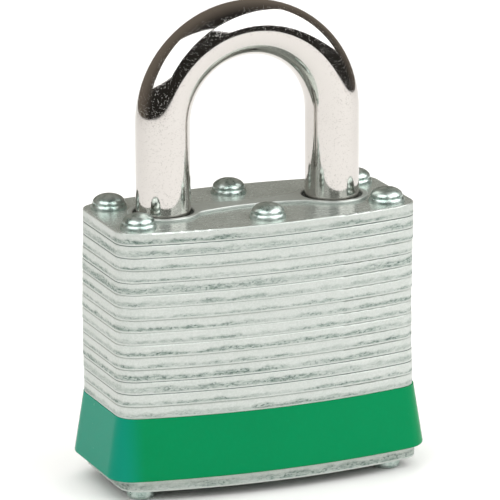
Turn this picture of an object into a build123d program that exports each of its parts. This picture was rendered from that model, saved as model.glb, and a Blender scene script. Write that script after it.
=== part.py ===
from build123d import *
from math import pi, sin
import os

# Laminated padlock, 40 mm wide, closed, with its levers drawn back and its plug turned open.
# Millimetres. X runs across the width, the front face looks along -Y, +Z is up.
# The origin is at the middle of the surface that the rivet ends stand on.

os.makedirs("parts", exist_ok=True)

# Driving dimensions
body_width = 40.0
body_depth = 20.1
face_bow = 2.5
corner_radius = 2.7
plate_thickness = 1.59
plate_count = 21
foot_height = 1.45
bar_diameter = 6.9
leg_spacing = 22.8
arch_height = 11.42
shackle_lift = 13.0

# Stack of plates, numbered from the top
stack_top = foot_height + plate_count * plate_thickness
rolled_edge = 0.2
burred_edge = 0.06
band_inset = 0.4
first_band_plate = 16
first_housing_plate = 10

# The plates don't line up exactly: their outlines wander in waves down the stack
width_drift = 0.16
width_drift_wave = 26
first_drifting_plate = 3
depth_drift = 0.06
depth_drift_wave = 3.7
bottom_plate_drift = 0.3

# Raised pad round the shackle bores of the top plate, waisted between them
pad_height = 0.35
pad_radius = 4.55
pad_waist = 1.15
pad_blend = 2.0
pad_edge = 0.12

# Rivets
rivet_shaft_radius = 1.4
rivet_hole_radius = 1.45
corner_rivet_x = 16.7
corner_rivet_y = 5.2
middle_rivet_y = 6.6
head_radius = 2.28
rim_wall = 0.1
rim_height = 0.62
rim_middle_radius = 2.23
rim_top_radius = 2.1
groove_radius = 2.0
groove_height = 0.66
dome_base = 0.72
dome_radius = 2.05
dome_height = 1.13
ellipse_pull = 0.5523
end_radius = 1.8
end_rounding = 0.45
corner_rivets = [(x, y) for x in (-corner_rivet_x, corner_rivet_x) for y in (-corner_rivet_y, corner_rivet_y)]
middle_rivets = [(0, -middle_rivet_y), (0, middle_rivet_y)]

# Shackle and its bores: the heel stays in the body, the toe comes out
leg_x = leg_spacing / 2
bar_radius = bar_diameter / 2
bore_radius = 3.88
bore_chamfer = 0.12
arch_centre = stack_top + arch_height
toe_end = 22.5
toe_bore_plates = 8
heel_bore_plates = 19
heel_collar = 2.05
heel_flat = 2.9
lip_plate = 3
lip_offset = 3.05
notch_floor = 1.9
notch_play = 0.25
heel_bevel = 0.5
toe_bevel = 0.9

# Locking levers, in the hollow of two plates
lever_plates = (5, 6)
lever_play = 0.15
lever_half_width = 4.8
lever_bevel = 1.9
lever_tip = 7.7
lever_head_inner = 5.2
lever_head_side = 3.0
arm_inner_side = 3.5
hook_inner = 3.55
hook_outer = 4.95
hook_side = 2.0
lever_travel = 1.65
hollow_half_width = 4.95
hollow_half_length = 9.6
lever_spring_y = 1.6
lever_spring_bore = 0.9
lever_spring_depth = 2.0

# Cam: a bar with round ends that draws both levers back
cam_half_length = 3.1
cam_half_width = 1.45
blade_width = 1.4
blade_length = 3.0
blade_corner = 0.3
blade_fit = 0.03

# Cylinder: housing, plug and four pin chambers
plug_radius = 4.1
plug_clearance = 0.05
housing_radius = 4.8
housing_end_x = 11.0
housing_half_depth = 3.0
housing_play = 0.05
cover_thickness = 0.5
nose_radius = 3.4
nose_hole_radius = 3.5
nose_recess = 0.15
tail_radius = 2.0
tail_hole_radius = 2.2
keyway_width = 1.6
keyway_half_length = 2.7
keyway_top = 17.6
ward_depth = 0.4
pin_radius = 1.1
chamber_radius = 1.2
chamber_floor = -0.2
first_pin_z = 6.2
pin_spacing = 3.2
key_pin_outer_end = 3.9
key_pin_lengths = (3.2, 2.4, 2.9, 2.1)
driver_inner_end = 4.25
driver_length = 3.0
pin_chamfer = 0.25
key_pin_point = 0.6

# Bumper band around the lowest plates
bumper_proud = 0.14
bumper_width_flare = 1.4
bumper_depth_flare = 0.8
bumper_bottom_rounding = 0.3
bumper_fit = 0.05

# Springs: coil radius, wire radius, turns
ejector_coil = (2.75, 0.4, 6)
lever_coil = (0.6, 0.14, 4)
driver_coil = (0.8, 0.14, 6)
spring_gap = 0.05


def plate_top(number):
    return stack_top - (number - 1) * plate_thickness


def plate_bottom(number):
    return stack_top - number * plate_thickness


def save(piece, name):
    piece.part.label = name
    export_step(piece.part, "parts/" + name + ".step")


def body_outline(grow_width, grow_depth, drift_x=0, drift_y=0):
    """Bowed front and back and round corners, grown by these amounts on each side."""
    end_x = body_width / 2 + grow_width
    middle_y = body_depth / 2 + grow_depth
    end_y = middle_y - face_bow
    corners = [(drift_x + side * end_x, drift_y + face * end_y) for face in (-1, 1) for side in (-1, 1)]
    with BuildSketch() as outline:
        with BuildLine():
            ThreePointArc(corners[0], (drift_x, drift_y - middle_y), corners[1])
            Line(corners[1], corners[3])
            ThreePointArc(corners[3], (drift_x, drift_y + middle_y), corners[2])
            Line(corners[2], corners[0])
        make_face()
        fillet(outline.vertices(), corner_radius + grow_depth)
    return outline.sketch


def plate_outline(number):
    """Outline of one plate: a free one, one behind the bumper, or the one at the bottom."""
    if number < first_band_plate:
        to_left = width_drift * sin(2 * pi * (number - first_drifting_plate) / width_drift_wave)
        to_back = depth_drift * sin(2 * pi * number / depth_drift_wave)
        return body_outline(0, 0, -to_left, to_back)
    if number < plate_count:
        return body_outline(-band_inset, -band_inset)
    return body_outline(0, 0, bottom_plate_drift)


def cut_outline(number):
    """Openings of one plate: rivets, shackle bores, lever hollow, cylinder, cam and plug."""
    with Locations(*corner_rivets, *middle_rivets):
        Circle(rivet_hole_radius)
    if number <= toe_bore_plates:
        with Locations((leg_x, 0)):
            Circle(bore_radius)
    if number <= heel_bore_plates:
        with Locations((-leg_x, 0)):
            Circle(bore_radius)
    if number == lip_plate:
        with Locations((-leg_x + lip_offset + bore_radius / 2, 0)):
            Rectangle(bore_radius, 2 * bore_radius, mode=Mode.SUBTRACT)
    if number in lever_plates:
        Rectangle(2 * hollow_half_length, 2 * hollow_half_width)
    if lever_plates[-1] < number < first_housing_plate:
        Circle(tail_hole_radius)
    if first_housing_plate <= number < plate_count:
        Circle(housing_radius + housing_play)
        with Locations(((housing_end_x + cover_thickness + housing_play) / 2, 0)):
            Rectangle(housing_end_x + cover_thickness + housing_play, 2 * (housing_half_depth + housing_play))
    if number == plate_count:
        Circle(nose_hole_radius)


def pad_outline():
    """Two discs round the bores and a waisted strip between them."""
    with BuildSketch() as pad:
        with BuildLine():
            for face in (-1, 1):
                side_y = face * bore_radius
                ThreePointArc((-leg_x, side_y), (0, face * pad_waist), (leg_x, side_y))
            Line((leg_x, -bore_radius), (leg_x, bore_radius))
            Line((-leg_x, bore_radius), (-leg_x, -bore_radius))
        make_face()
        with Locations((-leg_x, 0), (leg_x, 0)):
            Circle(pad_radius)
        fillet(pad.vertices().filter_by(lambda point: abs(point.X) < leg_x), pad_blend)
    return pad.sketch


def make_plate(number):
    level = Plane.XY.offset(plate_bottom(number))
    outline = plate_outline(number)
    with BuildPart() as plate:
        with BuildSketch(level):
            add(outline)
        extrude(amount=plate_thickness)
        fillet(plate.edges().group_by(Axis.Z)[-1], rolled_edge)
        fillet(plate.edges().group_by(Axis.Z)[0], burred_edge)
        if number == 1:
            pad = pad_outline()
            with BuildSketch(Plane.XY.offset(stack_top)):
                add(pad)
            extrude(amount=pad_height)
            chamfer(plate.edges().group_by(Axis.Z)[-1], pad_edge)
        with BuildSketch(level):
            cut_outline(number)
        extrude(amount=plate_thickness + pad_height, mode=Mode.SUBTRACT)
        if number == 1:
            rims = plate.edges().group_by(Axis.Z)[-1].filter_by(GeomType.CIRCLE)
            chamfer(rims.filter_by(lambda rim: abs(rim.radius - bore_radius) < 0.01), bore_chamfer)
    return plate


def make_coil(base, coil_radius, wire_radius, turns, length):
    """Open coil spring that starts on the plane's origin and runs along its normal."""
    rise = length - 2 * wire_radius
    with BuildPart() as coil:
        with BuildLine() as path:
            start = base.offset(wire_radius).origin
            Helix(pitch=rise / turns, height=rise, radius=coil_radius, center=start, direction=base.z_dir)
        with BuildSketch(Plane(origin=path.line @ 0, z_dir=path.line % 0)):
            Circle(wire_radius)
        sweep(is_frenet=True)
    return coil


def make_round_pin(base, radius, length, first_edge, last_edge):
    """Round pin along the plane's normal, with a bevel at each end."""
    with BuildPart() as pin:
        with BuildSketch(base):
            Circle(radius)
        extrude(amount=length)
        ends = pin.faces().sort_by(Axis(base.origin, base.z_dir))
        chamfer(ends[0].edges(), first_edge)
        chamfer(ends[-1].edges(), last_edge)
    return pin


# Plates
for number in range(1, plate_count + 1):
    save(make_plate(number), f"plate_{number:02d}")


def make_rivets(places, end):
    """Rivets with a beaded dome above the stack. The list of points closes the lower end."""
    dome_top = stack_top + dome_base + dome_height
    with BuildPart() as rivets:
        with BuildSketch(Plane.XZ) as section:
            with BuildLine():
                Polyline(
                    *end,
                    (rivet_shaft_radius, stack_top),
                    (head_radius, stack_top),
                    (head_radius, stack_top + rim_wall),
                )
                ThreePointArc(
                    (head_radius, stack_top + rim_wall),
                    (rim_middle_radius, stack_top + (rim_wall + rim_height) / 2),
                    (rim_top_radius, stack_top + rim_height),
                )
                Polyline(
                    (rim_top_radius, stack_top + rim_height),
                    (groove_radius, stack_top + groove_height),
                    (dome_radius, stack_top + dome_base),
                )
                Bezier(
                    (dome_radius, stack_top + dome_base),
                    (dome_radius, stack_top + dome_base + ellipse_pull * dome_height),
                    (ellipse_pull * dome_radius, dome_top),
                    (0, dome_top),
                )
                Line((0, dome_top), end[0])
            make_face()
        one_rivet = revolve(section.sketch, axis=Axis.Z, mode=Mode.PRIVATE)
        with Locations(*[(x, y, 0) for x, y in places]):
            add(one_rivet)
    return rivets


# Rivets: four whose clinched ends carry the lock, two that end flush with the bottom plate
clinched_end = [
    (0, 0),
    (end_radius - end_rounding, 0),
    (end_radius - end_rounding / 4, end_rounding / 4),
    (end_radius, end_rounding),
    (end_radius, foot_height),
    (rivet_shaft_radius, foot_height),
]
flush_end = [(0, foot_height), (rivet_shaft_radius, foot_height)]
save(make_rivets(corner_rivets, clinched_end), "corner_rivets")
save(make_rivets(middle_rivets, flush_end), "middle_rivets")

# Bumper band: hardly proud of the plates above it, flared towards its lower edge
bumper_bottom = plate_top(plate_count)
bumper_top = plate_bottom(first_band_plate - 1)
bumper_foot = body_outline(bumper_width_flare, bumper_depth_flare)
bumper_rim = body_outline(bumper_proud, bumper_proud)
bumper_cavity = body_outline(bumper_fit - band_inset, bumper_fit - band_inset)
with BuildPart() as bumper:
    with BuildSketch(Plane.XY.offset(bumper_bottom)):
        add(bumper_foot)
    with BuildSketch(Plane.XY.offset(bumper_top)):
        add(bumper_rim)
    loft(ruled=True)
    fillet(bumper.edges().group_by(Axis.Z)[0], bumper_bottom_rounding)
    with BuildSketch(Plane.XY.offset(bumper_bottom)):
        add(bumper_cavity)
    extrude(amount=bumper_top - bumper_bottom, mode=Mode.SUBTRACT)
save(bumper, "bumper")

# Shackle: half a ring on two legs, notched for the levers
lip_bottom = plate_bottom(lip_plate)
lip_top = plate_top(lip_plate)
hollow_bottom = plate_bottom(lever_plates[-1])
hollow_top = plate_top(lever_plates[0])
collar_top = lip_bottom - shackle_lift - notch_play
heel_end = collar_top - heel_collar
with BuildPart() as shackle:
    with BuildLine(Plane.XZ):
        Line((-leg_x, heel_end), (-leg_x, arch_centre))
        CenterArc((0, arch_centre), leg_x, 180, -180)
        Line((leg_x, arch_centre), (leg_x, toe_end))
    with BuildSketch(Plane.XY.offset(heel_end)):
        with Locations((-leg_x, 0)):
            Circle(bar_radius)
    sweep()
    bar_ends = shackle.faces().filter_by(GeomType.PLANE).sort_by(Axis.Z)
    chamfer(bar_ends[0].edges(), heel_bevel)
    chamfer(bar_ends[1].edges(), toe_bevel)
    for side in (-1, 1):
        # Notch that the lever's tip locks into
        with BuildSketch(Plane.XY.offset(hollow_bottom - notch_play)):
            with Locations((side * (leg_x - notch_floor - bar_radius), 0)):
                Rectangle(2 * bar_radius, 3 * bar_radius)
        extrude(amount=hollow_top - hollow_bottom + 2 * notch_play, mode=Mode.SUBTRACT)
    # Flat that the lip of the third plate runs in
    with BuildSketch(Plane.XY.offset(collar_top)):
        with Locations((-leg_x + heel_flat + bar_radius, 0)):
            Rectangle(2 * bar_radius, 3 * bar_radius)
    extrude(amount=lip_top + notch_play - collar_top, mode=Mode.SUBTRACT)
    # Neck that lets the raised shackle swing round the lip
    with BuildSketch(Plane.XY.offset(collar_top)):
        with Locations((-leg_x, 0)):
            Circle(2 * bar_radius)
            Circle(heel_flat, mode=Mode.SUBTRACT)
    extrude(amount=plate_thickness + 2 * notch_play, mode=Mode.SUBTRACT)
save(shackle, "shackle")

# Ejector spring under the heel
spring_floor = plate_bottom(heel_bore_plates)
ejector_base = Plane((-leg_x, 0, spring_floor + spring_gap))
save(make_coil(ejector_base, *ejector_coil, heel_end - spring_floor - 2 * spring_gap), "ejector_spring")


def make_lever(side):
    """Locking lever: tip and head beside its leg, an arm past the cam, and a hook beyond it."""
    thickness = hollow_top - hollow_bottom - 2 * lever_play
    with BuildPart() as lever:
        with BuildSketch(Plane.XY.offset(hollow_bottom + lever_play)):
            with BuildLine():
                Polyline(
                    *[
                        (side * x, side * y)
                        for x, y in (
                            (lever_tip, -lever_half_width + lever_bevel),
                            (lever_tip, lever_head_side),
                            (lever_head_inner, lever_head_side),
                            (lever_head_inner, -arm_inner_side),
                            (-hook_inner, -arm_inner_side),
                            (-hook_inner, hook_side),
                            (-hook_outer, hook_side),
                            (-hook_outer, -lever_half_width),
                            (lever_tip - lever_bevel, -lever_half_width),
                        )
                    ],
                    close=True,
                )
            make_face()
        extrude(amount=thickness)
        spring_pocket = Plane(
            origin=(side * lever_head_inner, side * lever_spring_y, (hollow_bottom + hollow_top) / 2),
            z_dir=(side, 0, 0),
        )
        with BuildSketch(spring_pocket):
            Circle(lever_spring_bore)
        extrude(amount=lever_spring_depth, mode=Mode.SUBTRACT)
    return lever


save(make_lever(1), "toe_lever")
save(make_lever(-1), "heel_lever")

# Lever springs: one in each lever's head, against the other lever's hook
lever_spring_length = lever_head_inner + lever_spring_depth - hook_outer - 2 * spring_gap
lever_spring_start = lever_head_inner + lever_spring_depth - spring_gap
lever_coils = [
    make_coil(
        Plane(
            origin=(side * lever_spring_start, side * lever_spring_y, (hollow_bottom + hollow_top) / 2),
            z_dir=(-side, 0, 0),
        ),
        *lever_coil,
        lever_spring_length,
    )
    for side in (-1, 1)
]
with BuildPart() as lever_springs:
    add([coil.part for coil in lever_coils])
save(lever_springs, "lever_springs")

# Plug, turned a quarter from the place where its key goes in: its chambers face +Y
housing_bottom = plate_top(plate_count) + housing_play
housing_top = plate_top(first_housing_plate) - 2 * housing_play
pin_levels = [first_pin_z + pin_spacing * step for step in range(len(key_pin_lengths))]
blade_top = hollow_top - 2 * lever_play
with BuildPart() as plug:
    with BuildSketch(Plane.XY.offset(foot_height + nose_recess)):
        Circle(nose_radius)
    extrude(amount=housing_bottom - foot_height - nose_recess)
    with BuildSketch(Plane.XY.offset(housing_bottom)):
        Circle(plug_radius)
    extrude(amount=housing_top - housing_bottom)
    with BuildSketch(Plane.XY.offset(housing_top)):
        Circle(tail_radius)
    extrude(amount=hollow_bottom + lever_play - housing_play - housing_top)
    with BuildSketch(Plane.XY.offset(hollow_bottom + lever_play - housing_play)):
        RectangleRounded(blade_length, blade_width, blade_corner)
    extrude(amount=blade_top - hollow_bottom - lever_play)
    with BuildSketch(Plane.XY.offset(foot_height)):
        Rectangle(keyway_width, 2 * keyway_half_length)
        with Locations((keyway_width / 2, -keyway_half_length / 3)):
            Rectangle(2 * ward_depth, 2 * ward_depth)
        with Locations((-keyway_width / 2, -keyway_half_length / 3), (keyway_width / 2, keyway_half_length / 4)):
            Rectangle(2 * ward_depth, 2 * ward_depth, mode=Mode.SUBTRACT)
    extrude(amount=keyway_top - foot_height, mode=Mode.SUBTRACT)
    for level in pin_levels:
        with BuildSketch(Plane(origin=(0, chamber_floor, level), z_dir=(0, 1, 0))):
            Circle(chamber_radius)
        extrude(amount=2 * plug_radius, mode=Mode.SUBTRACT)
save(plug, "plug")

# Cam on the plug's blade
with BuildPart() as cam:
    with BuildSketch(Plane.XY.offset(hollow_bottom + lever_play)):
        SlotOverall(2 * cam_half_length, 2 * cam_half_width)
        RectangleRounded(
            blade_length + 2 * blade_fit, blade_width + 2 * blade_fit, blade_corner, mode=Mode.SUBTRACT
        )
    extrude(amount=hollow_top - hollow_bottom - 2 * lever_play)
save(cam, "cam")

# Cylinder housing: a tube round the plug with a block for the driver chambers
with BuildPart() as cylinder_housing:
    with BuildSketch(Plane.XY.offset(housing_bottom)):
        Circle(housing_radius)
        with Locations((housing_end_x / 2, 0)):
            Rectangle(housing_end_x, 2 * housing_half_depth)
        Circle(plug_radius + plug_clearance, mode=Mode.SUBTRACT)
    extrude(amount=housing_top - housing_bottom)
    for level in pin_levels:
        with BuildSketch(Plane(origin=(0, 0, level), z_dir=(1, 0, 0))):
            Circle(chamber_radius)
        extrude(amount=housing_end_x, mode=Mode.SUBTRACT)
save(cylinder_housing, "cylinder_housing")

# Strip that closes the driver chambers
with BuildPart() as chamber_cover:
    with BuildSketch(Plane.XY.offset(housing_bottom)):
        with Locations((housing_end_x + cover_thickness / 2, 0)):
            Rectangle(cover_thickness, 2 * housing_half_depth)
    extrude(amount=housing_top - housing_bottom)
save(chamber_cover, "chamber_cover")

# Pins, each in its own chamber
for count, level in enumerate(pin_levels, start=1):
    length = key_pin_lengths[count - 1]
    key_pin_base = Plane(origin=(0, key_pin_outer_end - length, level), z_dir=(0, 1, 0))
    save(make_round_pin(key_pin_base, pin_radius, length, key_pin_point, pin_chamfer), f"key_pin_{count}")
    driver_base = Plane(origin=(driver_inner_end, 0, level), z_dir=(1, 0, 0))
    save(make_round_pin(driver_base, pin_radius, driver_length, pin_chamfer, pin_chamfer), f"driver_pin_{count}")

# Springs behind the driver pins
driver_outer_end = driver_inner_end + driver_length
driver_spring_length = housing_end_x - driver_outer_end - 2 * spring_gap
spring_seats = [Plane(origin=(driver_outer_end + spring_gap, 0, level), z_dir=(1, 0, 0)) for level in pin_levels]
driver_coils = [make_coil(seat, *driver_coil, driver_spring_length) for seat in spring_seats]
with BuildPart() as driver_springs:
    add([coil.part for coil in driver_coils])
save(driver_springs, "driver_springs")
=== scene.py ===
import math

import bpy
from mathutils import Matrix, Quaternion, Vector


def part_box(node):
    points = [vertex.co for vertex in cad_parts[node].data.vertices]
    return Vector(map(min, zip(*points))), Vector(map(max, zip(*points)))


# Laminated padlock. Metres, in the CAD frame: X across the width, the front looks along -Y, +Z up.

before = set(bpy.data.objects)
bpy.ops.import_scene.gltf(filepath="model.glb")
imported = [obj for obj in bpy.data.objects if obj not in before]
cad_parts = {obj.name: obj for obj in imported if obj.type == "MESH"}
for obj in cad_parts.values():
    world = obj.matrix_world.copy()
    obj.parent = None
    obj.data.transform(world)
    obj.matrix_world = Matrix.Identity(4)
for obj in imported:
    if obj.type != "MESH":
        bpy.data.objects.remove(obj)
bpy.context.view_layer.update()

MM = 0.001
plate_names = sorted(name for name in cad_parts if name.startswith("plate_"))
second_plate_low, second_plate_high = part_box("plate_02")
plate_thickness = second_plate_high.z - second_plate_low.z
stack_top = second_plate_high.z + plate_thickness

# Camera: a long lens, in front, to the left and a little above
CAMERA_AZIMUTH = -21.91
CAMERA_ELEVATION = 15.29
CAMERA_ROLL = -0.237
CAMERA_DISTANCE = 0.6496
CAMERA_LENS = 371.6
CAMERA_TARGET = (0.24 * MM, 0, 28.86 * MM)

# Studio: the floor, the point that the lights look at, and the colours of the room
FLOOR_RADIUS = 0.42
FLOOR_SIDES = 96
LIGHT_AIM = (0, 0, 40 * MM)
FLOOR_WHITE = (0.90, 0.89, 0.88)
ROOM_FRONT = (0.030, 0.028, 0.025)
ROOM_BACK = (0.20, 0.17, 0.14)
BACKDROP_WHITE = (1.0, 1.0, 1.0)


def direction(azimuth, elevation):
    """Unit vector from the object, azimuth from the front towards +X, in degrees."""
    a, e = math.radians(azimuth), math.radians(elevation)
    return Vector((math.sin(a) * math.cos(e), -math.cos(a) * math.cos(e), math.sin(e)))


# ---------------------------------------------------------------- shader helpers


def mix_colours(tree, amount, a, b):
    """Colour from a to b by amount. Either may be another node's output."""
    mix = tree.nodes.new("ShaderNodeMix")
    mix.data_type = "RGBA"
    tree.links.new(amount, mix.inputs["Factor"])
    sockets = [socket for socket in mix.inputs if socket.type == "RGBA"]
    for socket, value in zip(sockets, (a, b)):
        if hasattr(value, "links"):
            tree.links.new(value, socket)
        else:
            socket.default_value = (*value, 1)
    return next(socket for socket in mix.outputs if socket.type == "RGBA")


class Shader:
    """A material with its Principled BSDF, and short calls for the nodes around it."""

    def __init__(self, name, metallic=0.0, roughness=0.5):
        self.material = bpy.data.materials.new(name)
        self.material.use_nodes = True
        self.tree = self.material.node_tree
        self.surface = self.tree.nodes["Principled BSDF"]
        self.surface.inputs["Metallic"].default_value = metallic
        self.surface.inputs["Roughness"].default_value = roughness
        self.surface.inputs["IOR"].default_value = 1.5
        self.place = self.tree.nodes.new("ShaderNodeTexCoord").outputs["Object"]

    def put(self, socket, value):
        """Links another node's output, or sets a plain number or colour."""
        if hasattr(value, "links"):
            self.tree.links.new(value, socket)
        else:
            socket.default_value = value

    def maths(self, operation, a, b=0.0, clamp=False):
        node = self.tree.nodes.new("ShaderNodeMath")
        node.operation = operation
        node.use_clamp = clamp
        for socket, value in zip(node.inputs, (a, b)):
            self.put(socket, value)
        return node.outputs[0]

    def axes(self, vector=None):
        node = self.tree.nodes.new("ShaderNodeSeparateXYZ")
        self.put(node.inputs[0], vector or self.place)
        return node.outputs

    def join(self, x, y, z):
        node = self.tree.nodes.new("ShaderNodeCombineXYZ")
        for socket, value in zip(node.inputs, (x, y, z)):
            self.put(socket, value)
        return node.outputs[0]

    def shift(self, offset):
        """The object's place, moved by an offset."""
        node = self.tree.nodes.new("ShaderNodeVectorMath")
        self.put(node.inputs[0], self.place)
        self.put(node.inputs[1], offset)
        return node.outputs[0]

    def stretch(self, scale, vector=None):
        node = self.tree.nodes.new("ShaderNodeMapping")
        self.put(node.inputs["Vector"], vector or self.place)
        node.inputs["Scale"].default_value = scale
        return node.outputs[0]

    def noise(self, vector, scale=1.0, detail=3.0, roughness=0.55):
        node = self.tree.nodes.new("ShaderNodeTexNoise")
        self.put(node.inputs["Vector"], vector)
        node.inputs["Scale"].default_value = scale
        node.inputs["Detail"].default_value = detail
        node.inputs["Roughness"].default_value = roughness
        return node.outputs["Fac"]

    def cells(self, vector, scale=1.0):
        node = self.tree.nodes.new("ShaderNodeTexVoronoi")
        self.put(node.inputs["Vector"], vector)
        node.inputs["Scale"].default_value = scale
        return node.outputs

    def random(self, value):
        node = self.tree.nodes.new("ShaderNodeTexWhiteNoise")
        node.noise_dimensions = "1D"
        self.put(node.inputs["W"], value)
        return node.outputs["Value"]

    def spread(self, value, low, high, to_low=0.0, to_high=1.0):
        """Smooth step of value from low..high to to_low..to_high."""
        node = self.tree.nodes.new("ShaderNodeMapRange")
        node.interpolation_type = "SMOOTHSTEP"
        self.put(node.inputs["Value"], value)
        limits = {"From Min": low, "From Max": high, "To Min": to_low, "To Max": to_high}
        for name, number in limits.items():
            self.put(node.inputs[name], number)
        return node.outputs["Result"]

    def blend(self, amount, a, b):
        return mix_colours(self.tree, amount, a, b)

    def facing(self):
        """The surface's normal, before any bump, as X, Y, Z."""
        return self.axes(self.tree.nodes.new("ShaderNodeNewGeometry").outputs["True Normal"])

    def relief(self, height, depth, strength=1.0):
        node = self.tree.nodes.new("ShaderNodeBump")
        node.inputs["Distance"].default_value = depth
        node.inputs["Strength"].default_value = strength
        self.put(node.inputs["Height"], height)
        self.tree.links.new(node.outputs["Normal"], self.surface.inputs["Normal"])

    def colour(self, value):
        self.put(self.surface.inputs["Base Color"], value)

    def gloss(self, value):
        self.put(self.surface.inputs["Roughness"], value)


def wear(node_name, material):
    """Gives a CAD node its material."""
    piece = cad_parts[node_name]
    piece.data.materials.clear()
    piece.data.materials.append(material)


# ---------------------------------------------------------------- materials

# Zinc plating on the plates' edges, and painted shade for the seams between them
ZINC_SMOOTH_LOW = (0.475, 0.52, 0.485)
ZINC_SMOOTH_HIGH = (0.555, 0.585, 0.555)
ZINC_BRIGHT = (0.64, 0.665, 0.64)
ZINC_TORN_LOW = (0.23, 0.29, 0.255)
ZINC_TORN_HIGH = (0.47, 0.52, 0.485)
ZINC_PIT = (0.10, 0.15, 0.13)
# Painted shade in the seams between the plates
SEAM_PAINTED_SHADE = (0.12, 0.16, 0.14)


def plate_edges(s):
    """Stamped sheet seen on edge: a smooth sheared band over a torn, speckled one, with painted shade
    darkening the seams at its top and bottom edges. Returns colour, roughness and height."""
    z = s.axes()[2]
    depth = s.maths("DIVIDE", s.maths("SUBTRACT", stack_top, z), plate_thickness)
    row = s.maths("FLOOR", depth)
    within = s.maths("SUBTRACT", depth, row)
    luck = s.random(row)
    second_luck = s.random(s.maths("ADD", row, 40.5))
    place = s.shift(s.join(s.maths("MULTIPLY", luck, 0.31), s.maths("MULTIPLY", luck, 0.17), 0.0))
    patches = s.noise(s.stretch((95, 95, 60), place), detail=2)
    wander = s.noise(s.stretch((420, 420, 90), place), detail=4, roughness=0.6)
    tear_line = s.maths("ADD", s.maths("MULTIPLY", wander, 0.75), s.maths("MULTIPLY", luck, 0.32))
    torn = s.spread(s.maths("SUBTRACT", within, tear_line), -0.12, 0.16)
    low_on_plate = s.spread(within, 0.93, 0.80)
    patchy = s.spread(patches, 0.34, 0.60, 0.45, 1.0)
    worn = s.maths("MULTIPLY", torn, s.maths("MULTIPLY", low_on_plate, patchy))
    streaks = s.noise(s.stretch((900, 900, 4200), place), detail=5, roughness=0.65)
    grain = s.noise(s.stretch((3400, 3400, 4200), place), detail=4, roughness=0.75)
    pits = s.spread(s.noise(s.stretch((2300, 2300, 4300), place), detail=3, roughness=0.6), 0.50, 0.66)
    bloom = s.noise(s.stretch((220, 220, 420), place), detail=2)
    smooth_zinc = s.blend(bloom, ZINC_SMOOTH_LOW, ZINC_SMOOTH_HIGH)
    smooth_zinc = s.blend(s.spread(grain, 0.40, 0.62, 0.0, 0.5), smooth_zinc, ZINC_BRIGHT)
    torn_zinc = s.blend(s.spread(streaks, 0.38, 0.62), ZINC_TORN_LOW, ZINC_TORN_HIGH)
    torn_zinc = s.blend(s.maths("MULTIPLY", pits, 0.95), torn_zinc, ZINC_PIT)
    colour = s.blend(worn, smooth_zinc, torn_zinc)
    # Painted shade: each plate's top and bottom rims, where the plates meet, are darkened by a random amount
    # per plate, to hide the highlight their rounded edges would catch.
    edge = s.maths("ADD", s.spread(within, 0.075, 0.02), s.spread(within, 0.955, 0.99))
    seam_shade_depth = s.spread(second_luck, 0.35, 0.85, 0.1, 0.9)
    shaded_seam = s.maths("MULTIPLY", edge, seam_shade_depth, clamp=True)
    colour = s.blend(shaded_seam, colour, SEAM_PAINTED_SHADE)
    roughness = s.spread(s.maths("MAXIMUM", worn, shaded_seam), 0.0, 1.0, 0.42, 0.70)
    ridges = s.maths("MULTIPLY", streaks, s.maths("ADD", s.maths("MULTIPLY", worn, 0.9), 0.2))
    hollows = s.maths("MULTIPLY", s.maths("MULTIPLY", pits, worn), -0.6)
    height = s.maths("ADD", s.maths("ADD", ridges, hollows), s.maths("MULTIPLY", grain, 0.25))
    return colour, roughness, height


def zinc_plate():
    s = Shader("zinc_plate", metallic=0.35)
    colour, roughness, height = plate_edges(s)
    s.colour(colour)
    s.gloss(roughness)
    s.relief(height, 0.05 * MM, 0.9)
    return s.material


def zinc_top_plate():
    """The same sheet on edge, and its rubbed upper face with the raised pad a little duller."""
    s = Shader("zinc_top_plate", metallic=0.6)
    edge_colour, edge_roughness, edge_height = plate_edges(s)
    z = s.axes()[2]
    top = s.spread(s.facing()[2], 0.35, 0.8)
    scuffs = s.noise(s.stretch((700, 2300, 700)), detail=5, roughness=0.7)
    cloud = s.noise(s.stretch((230, 230, 230)), detail=3)
    grain = s.noise(s.stretch((3000, 3000, 3000)), detail=3, roughness=0.7)
    on_pad = s.spread(z, stack_top + 0.1 * MM, stack_top + 0.25 * MM)
    face = s.blend(cloud, (0.42, 0.475, 0.43), (0.53, 0.57, 0.53))
    face = s.blend(s.spread(grain, 0.4, 0.65, 0.0, 0.55), face, (0.33, 0.375, 0.34))
    face = s.blend(s.maths("MULTIPLY", on_pad, 0.35), face, (0.40, 0.42, 0.39))
    # Painted highlight: a lighter band on the rounded rim of the upper face, where the surface tips away from
    # straight up.
    rim_highlight = s.maths("MULTIPLY", s.spread(s.facing()[2], 0.98, 0.93), top)
    face = s.blend(s.maths("MULTIPLY", rim_highlight, 0.5), face, (0.70, 0.72, 0.70))
    s.colour(s.blend(top, edge_colour, face))
    polish = s.maths("ADD", s.maths("MULTIPLY", on_pad, 0.13), s.spread(scuffs, 0.35, 0.75, 0.19, 0.30))
    side = s.maths("SUBTRACT", 1.0, top)
    s.gloss(s.maths("ADD", s.maths("MULTIPLY", top, polish), s.maths("MULTIPLY", side, edge_roughness)))
    face_height = s.maths("ADD", s.maths("MULTIPLY", grain, 0.3), s.maths("MULTIPLY", scuffs, 0.4))
    height = s.maths("ADD", s.maths("MULTIPLY", edge_height, side), s.maths("MULTIPLY", top, face_height))
    s.relief(height, 0.05 * MM, 0.8)
    return s.material


def rivet_steel():
    s = Shader("rivet_steel", metallic=0.9)
    tarnish = s.noise(s.stretch((1100, 1100, 1100)), detail=5, roughness=0.65)
    hammer = s.noise(s.stretch((520, 520, 520)), detail=2)
    s.colour(s.blend(s.spread(tarnish, 0.35, 0.65), (0.36, 0.46, 0.42), (0.66, 0.74, 0.70)))
    s.gloss(s.spread(tarnish, 0.3, 0.75, 0.26, 0.40))
    s.relief(s.maths("ADD", hammer, s.maths("MULTIPLY", tarnish, 0.25)), 0.10 * MM, 0.45)
    return s.material


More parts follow.
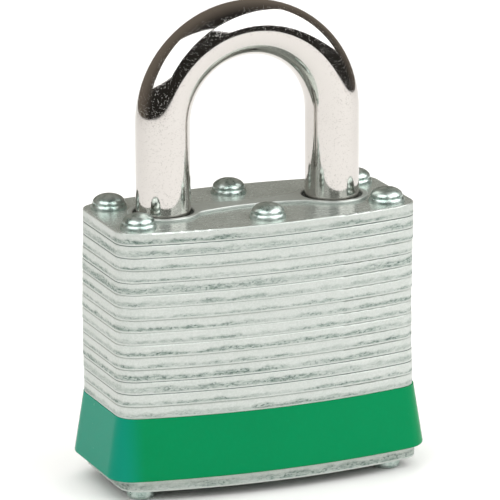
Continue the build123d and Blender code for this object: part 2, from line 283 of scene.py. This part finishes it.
def shackle_chrome():
    """Bright plate with pin-prick pits and a little haze."""
    s = Shader("shackle_chrome", metallic=1.0)
    haze = s.noise(s.stretch((260, 260, 260)), detail=3)
    specks = s.cells(s.place, scale=9500)
    luck = s.axes(specks["Color"])[0]
    hole = s.spread(specks["Distance"], 0.15, 0.5, 1.0, 0.0)
    pit = s.maths("MULTIPLY", hole, s.spread(luck, 0.80, 0.88))
    fine = s.noise(s.stretch((9000, 9000, 9000)), detail=2)
    brushed = s.noise(s.stretch((1500, 1500, 60)), detail=3)
    s.colour(s.blend(haze, (0.55, 0.53, 0.505), (0.59, 0.57, 0.545)))
    s.gloss(s.spread(haze, 0.3, 0.8, 0.05, 0.10))
    pitted = s.maths("ADD", s.maths("MULTIPLY", pit, -0.6), s.maths("MULTIPLY", fine, 0.12))
    waves = s.maths("ADD", s.maths("MULTIPLY", haze, 0.5), s.maths("MULTIPLY", brushed, 0.25))
    s.relief(s.maths("ADD", pitted, waves), 0.02 * MM, 0.5)
    return s.material


def bumper_plastic():
    """Gloss moulded plastic, with painted bluish light on its left end."""
    s = Shader("bumper_plastic")
    s.surface.inputs["Specular IOR Level"].default_value = 0.06
    x = s.axes()[0]
    cloud = s.noise(s.stretch((60, 60, 60)), detail=2)
    grain = s.noise(s.stretch((1800, 1800, 1800)), detail=3)
    green = s.blend(cloud, (0.000, 0.200, 0.068), (0.000, 0.235, 0.080))
    green = s.blend(s.spread(grain, 0.4, 0.8, 0.0, 0.2), green, (0.001, 0.26, 0.092))
    # Painted light: the left end is tinted bluer, standing in for a faint bluish light from the left.
    painted_left_blue_light = s.spread(x, -17.2 * MM, -20.2 * MM, 0.0, 0.85)
    s.colour(s.blend(painted_left_blue_light, green, (0.004, 0.24, 0.165)))
    s.gloss(s.spread(grain, 0.3, 0.8, 0.16, 0.28))
    s.relief(s.maths("ADD", cloud, s.maths("MULTIPLY", grain, 0.06)), 0.03 * MM, 0.3)
    return s.material


def brass():
    """Turned brass: fine rings about the cylinder's axis."""
    s = Shader("brass", metallic=1.0)
    x, y, z = s.axes()
    radius = s.maths("SQRT", s.maths("ADD", s.maths("MULTIPLY", x, x), s.maths("MULTIPLY", y, y)))
    turned = s.join(s.maths("MULTIPLY", radius, 14.0), s.maths("MULTIPLY", z, 9.0), 0.0)
    rings = s.noise(turned, scale=700, detail=2)
    tarnish = s.noise(s.stretch((400, 400, 400)), detail=4)
    s.colour(s.blend(s.spread(tarnish, 0.3, 0.7), (0.50, 0.335, 0.12), (0.72, 0.52, 0.22)))
    s.gloss(s.spread(rings, 0.3, 0.7, 0.22, 0.36))
    s.relief(rings, 0.02 * MM, 0.5)
    return s.material


def dark_steel(name, low, high, roughness):
    """Plain hardened steel or spring wire, slightly oiled."""
    s = Shader(name, metallic=1.0)
    marks = s.noise(s.stretch((1200, 300, 1200)), detail=4, roughness=0.65)
    s.colour(s.blend(marks, low, high))
    s.gloss(s.spread(marks, 0.3, 0.8, roughness, roughness + 0.15))
    s.relief(marks, 0.02 * MM, 0.5)
    return s.material


def dress_frame():
    wear(plate_names[0], zinc_top_plate())
    edge = zinc_plate()
    for name in plate_names[1:]:
        wear(name, edge)
    steel = rivet_steel()
    wear("corner_rivets", steel)
    wear("middle_rivets", steel)
    wear("shackle", shackle_chrome())
    wear("bumper", bumper_plastic())
    yellow = brass()
    lever = dark_steel("lever_steel", (0.28, 0.28, 0.29), (0.42, 0.42, 0.43), 0.3)
    wire = dark_steel("spring_wire", (0.33, 0.33, 0.34), (0.5, 0.5, 0.5), 0.2)
    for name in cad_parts:
        if "spring" in name:
            wear(name, wire)
        elif name in ("cam", "toe_lever", "heel_lever"):
            wear(name, lever)
        elif "pin" in name or name in ("plug", "cylinder_housing", "chamber_cover"):
            wear(name, yellow)


# ---------------------------------------------------------------- studio


def floor():
    """Round pale table top. It ends near the lock, so the metal also mirrors the dim room."""
    bpy.ops.mesh.primitive_circle_add(vertices=FLOOR_SIDES, radius=FLOOR_RADIUS, fill_type="NGON")
    table = bpy.context.object
    table.name = "studio_floor"
    s = Shader("studio_floor", roughness=0.9)
    s.surface.inputs["Base Color"].default_value = (*FLOOR_WHITE, 1)
    table.data.materials.append(s.material)


def softbox(name, azimuth, elevation, distance, width, height, radiance):
    """Rectangular light that looks at the lock, with the same brightness wherever it's seen from."""
    light = bpy.data.lights.new(name, "AREA")
    light.shape = "RECTANGLE"
    light.size = width
    light.size_y = height
    light.energy = radiance * math.pi * width * height
    box = bpy.data.objects.new(name, light)
    aim = Vector(LIGHT_AIM)
    box.location = aim + direction(azimuth, elevation) * distance
    box.rotation_euler = (aim - box.location).to_track_quat("-Z", "Y").to_euler()
    bpy.context.scene.collection.objects.link(box)
    return box


def room():
    """Room round the softboxes: the camera sees a white backdrop, the metal a dim room that is
    nearly black in front and brownish behind."""
    world = bpy.data.worlds.new("room")
    bpy.context.scene.world = world
    world.use_nodes = True
    tree = world.node_tree
    split = tree.nodes.new("ShaderNodeSeparateXYZ")
    tree.links.new(tree.nodes.new("ShaderNodeTexCoord").outputs["Generated"], split.inputs[0])
    fade = tree.nodes.new("ShaderNodeMapRange")
    fade.inputs["From Min"].default_value = -0.2
    fade.inputs["From Max"].default_value = 0.7
    tree.links.new(split.outputs["Y"], fade.inputs["Value"])
    dim = mix_colours(tree, fade.outputs["Result"], ROOM_FRONT, ROOM_BACK)
    seen = tree.nodes.new("ShaderNodeLightPath").outputs["Is Camera Ray"]
    shade = mix_colours(tree, seen, dim, BACKDROP_WHITE)
    tree.links.new(shade, tree.nodes["Background"].inputs["Color"])


def camera():
    lens = bpy.data.cameras.new("camera")
    lens.lens = CAMERA_LENS
    lens.sensor_width = 36
    lens.clip_start = 0.01
    lens.clip_end = 50
    eye = bpy.data.objects.new("camera", lens)
    target = Vector(CAMERA_TARGET)
    eye.location = target + direction(CAMERA_AZIMUTH, CAMERA_ELEVATION) * CAMERA_DISTANCE
    upright = (target - eye.location).to_track_quat("-Z", "Y")
    eye.rotation_euler = (upright @ Quaternion((0, 0, 1), math.radians(CAMERA_ROLL))).to_euler()
    bpy.context.scene.collection.objects.link(eye)
    bpy.context.scene.camera = eye


dress_frame()
floor()
softbox("softbox_right", azimuth=48, elevation=41, distance=0.55, width=0.80, height=0.50, radiance=3.1)
softbox("softbox_left", azimuth=-62, elevation=42, distance=0.55, width=0.62, height=0.46, radiance=2.75)
back_light = softbox("back_light", azimuth=180, elevation=60, distance=0.6, width=0.9, height=0.6, radiance=2.0)
back_light.visible_glossy = False
room()
camera()
bpy.context.scene.view_settings.view_transform = "Standard"
